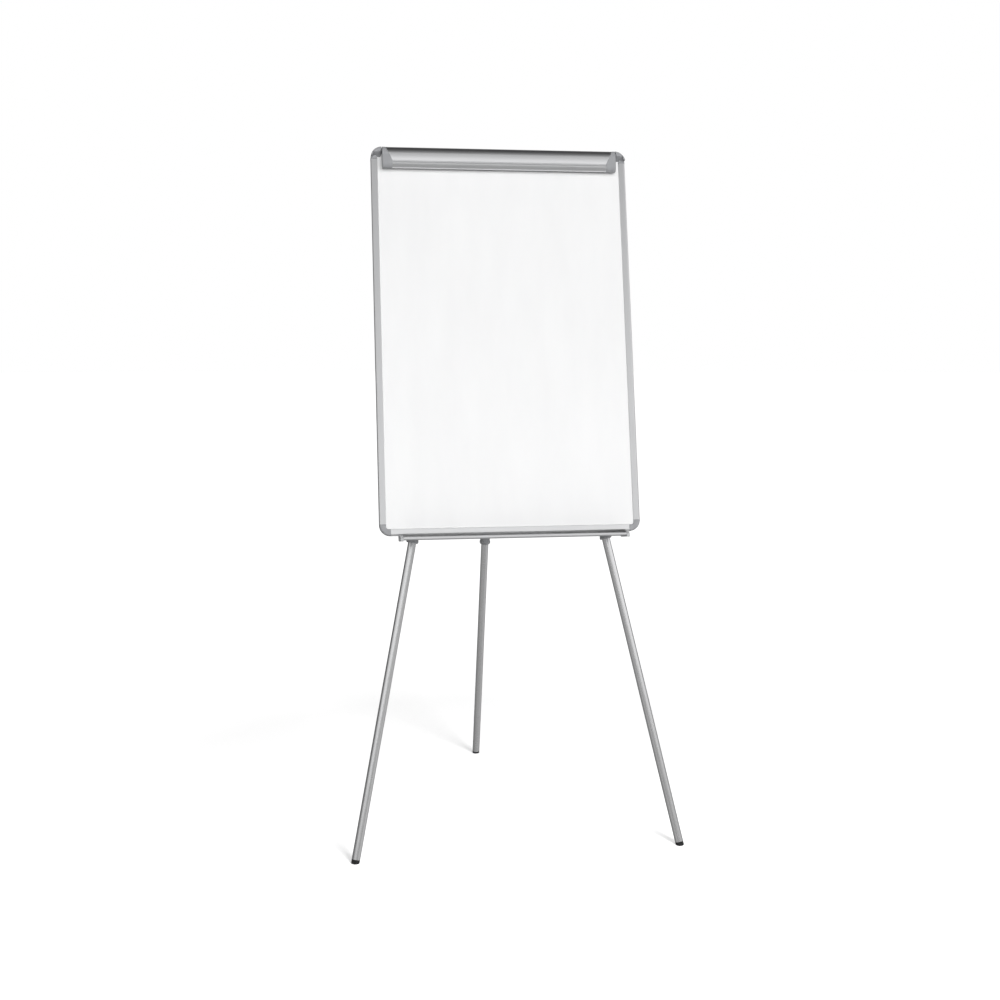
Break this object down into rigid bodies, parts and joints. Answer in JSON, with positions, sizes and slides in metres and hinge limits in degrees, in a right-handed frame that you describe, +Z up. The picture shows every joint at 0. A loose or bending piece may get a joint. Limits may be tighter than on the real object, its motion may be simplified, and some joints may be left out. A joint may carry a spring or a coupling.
{
  "type": "flipchart easel",
  "caption": "Leaning whiteboard on a folding telescopic tripod, with a sprung pad clamp along its top and a pen tray along its bottom.",
  "frame": {"origin": "on the floor, in the middle of the easel's footprint", "axes": "+Z up; the board faces -Y and leans back towards +Y; +X is the right side of the board as its user faces it"},
  "size_m": [0.8802, 0.9074, 1.8493],
  "materials": {
    "anodised_aluminium": "satin silver anodised",
    "clamp_aluminium": "satin silver anodised",
    "writing_lacquer": "gloss white dry-wipe lacquer",
    "galvanised_sheet": "dull galvanised",
    "fibreboard": "raw",
    "grey_moulding": "fine matte texture",
    "light_moulding": "fine matte texture",
    "dark_moulding": "matte",
    "steel": "zinc plated",
    "black_rubber": "matte"
  },
  "bodies": {
    "board": {"writing_panel": "writing_lacquer", "board_core": "fibreboard", "back_sheet": "galvanised_sheet", "frame_rail_left": "anodised_aluminium", "frame_rail_right": "anodised_aluminium", "frame_rail_bottom": "anodised_aluminium", "frame_rail_top": "anodised_aluminium", "corner_cap_top_left": "grey_moulding", "corner_cap_top_right": "grey_moulding", "corner_cap_bottom_left": "grey_moulding", "corner_cap_bottom_right": "grey_moulding", "hook_rail": "anodised_aluminium", "clamp_pin_left": "steel", "clamp_pin_right": "steel", "clamp_spring_left": "steel", "clamp_spring_right": "steel", "pen_tray": "anodised_aluminium", "tray_end_left": "light_moulding", "tray_end_right": "light_moulding", "tray_screw_left": "steel", "tray_screw_right": "steel", "head_bracket": "grey_moulding", "bracket_screw_upper_left": "steel", "bracket_screw_upper_right": "steel", "bracket_screw_lower_left": "steel", "bracket_screw_lower_right": "steel", "front_leg_pin_left": "steel", "front_leg_pin_right": "steel", "rear_leg_pin": "steel", "leg_clip_left": "grey_moulding", "leg_clip_right": "grey_moulding"},
    "clamp": {"clamp_bar": "clamp_aluminium", "clamp_end_left": "grey_moulding", "clamp_end_right": "grey_moulding", "clamp_grip_strip": "black_rubber"},
    "hook_left": {"pad_hook_left": "dark_moulding"},
    "hook_right": {"pad_hook_right": "dark_moulding"},
    "leg_left": {"leg_knuckle_left": "grey_moulding", "outer_tube_left": "anodised_aluminium", "collet_left": "dark_moulding"},
    "collar_left": {"lock_collar_left": "grey_moulding"},
    "inner_left": {"inner_tube_left": "anodised_aluminium", "guide_plug_left": "dark_moulding", "foot_left": "black_rubber"},
    "leg_right": {"leg_knuckle_right": "grey_moulding", "outer_tube_right": "anodised_aluminium", "collet_right": "dark_moulding"},
    "collar_right": {"lock_collar_right": "grey_moulding"},
    "inner_right": {"inner_tube_right": "anodised_aluminium", "guide_plug_right": "dark_moulding", "foot_right": "black_rubber"},
    "leg_rear": {"leg_knuckle_rear": "grey_moulding", "outer_tube_rear": "anodised_aluminium", "collet_rear": "dark_moulding"},
    "collar_rear": {"lock_collar_rear": "grey_moulding"},
    "inner_rear": {"inner_tube_rear": "anodised_aluminium", "guide_plug_rear": "dark_moulding", "foot_rear": "black_rubber"}
  },
  "joints": [
    {"name": "clamp_hinge", "type": "hinge", "parent": "board", "child": "clamp", "pos_m": [0, -0.07799, 1.83994], "axis": [-1, 0, 0], "range_deg": [0, 60], "stiffness_Nm_per_rad": 0.9, "springref_deg": -34.38},
    {"name": "hook_slide_left", "type": "slide", "parent": "board", "child": "hook_left", "axis": [1, 0, 0], "range_m": [-0.1, 0.1]},
    {"name": "hook_slide_right", "type": "slide", "parent": "board", "child": "hook_right", "axis": [1, 0, 0], "range_m": [-0.1, 0.1]},
    {"name": "leg_fold_left", "type": "hinge", "parent": "board", "child": "leg_left", "pos_m": [-0.061, -0.04956, 1.76083], "axis": [0, -0.9759, 0.2181], "range_deg": [0, 11.54]},
    {"name": "collar_twist_left", "type": "hinge", "parent": "leg_left", "child": "collar_left", "pos_m": [-0.061, -0.04956, 1.76083], "axis": [0.2001, 0.2137, 0.9562], "range_deg": [0, 90]},
    {"name": "leg_slide_left", "type": "slide", "parent": "leg_left", "child": "inner_left", "axis": [0.2001, 0.2137, 0.9562], "range_m": [0, 0.79]},
    {"name": "leg_fold_right", "type": "hinge", "parent": "board", "child": "leg_right", "pos_m": [0.061, -0.04956, 1.76083], "axis": [0, 0.9759, -0.2181], "range_deg": [0, 11.54]},
    {"name": "collar_twist_right", "type": "hinge", "parent": "leg_right", "child": "collar_right", "pos_m": [0.061, -0.04956, 1.76083], "axis": [-0.2001, 0.2137, 0.9562], "range_deg": [0, 90]},
    {"name": "leg_slide_right", "type": "slide", "parent": "leg_right", "child": "inner_right", "axis": [-0.2001, 0.2137, 0.9562], "range_m": [0, 0.79]},
    {"name": "leg_fold_rear", "type": "hinge", "parent": "board", "child": "leg_rear", "pos_m": [0, -0.0668, 1.68374], "axis": [-1, 0, 0], "range_deg": [0, 29.45]},
    {"name": "collar_twist_rear", "type": "hinge", "parent": "leg_rear", "child": "collar_rear", "pos_m": [0, -0.0668, 1.68374], "axis": [0, -0.2899, 0.9571], "range_deg": [0, 90]},
    {"name": "leg_slide_rear", "type": "slide", "parent": "leg_rear", "child": "inner_rear", "axis": [0, -0.2899, 0.9571], "range_m": [0, 0.74]}
  ]
}
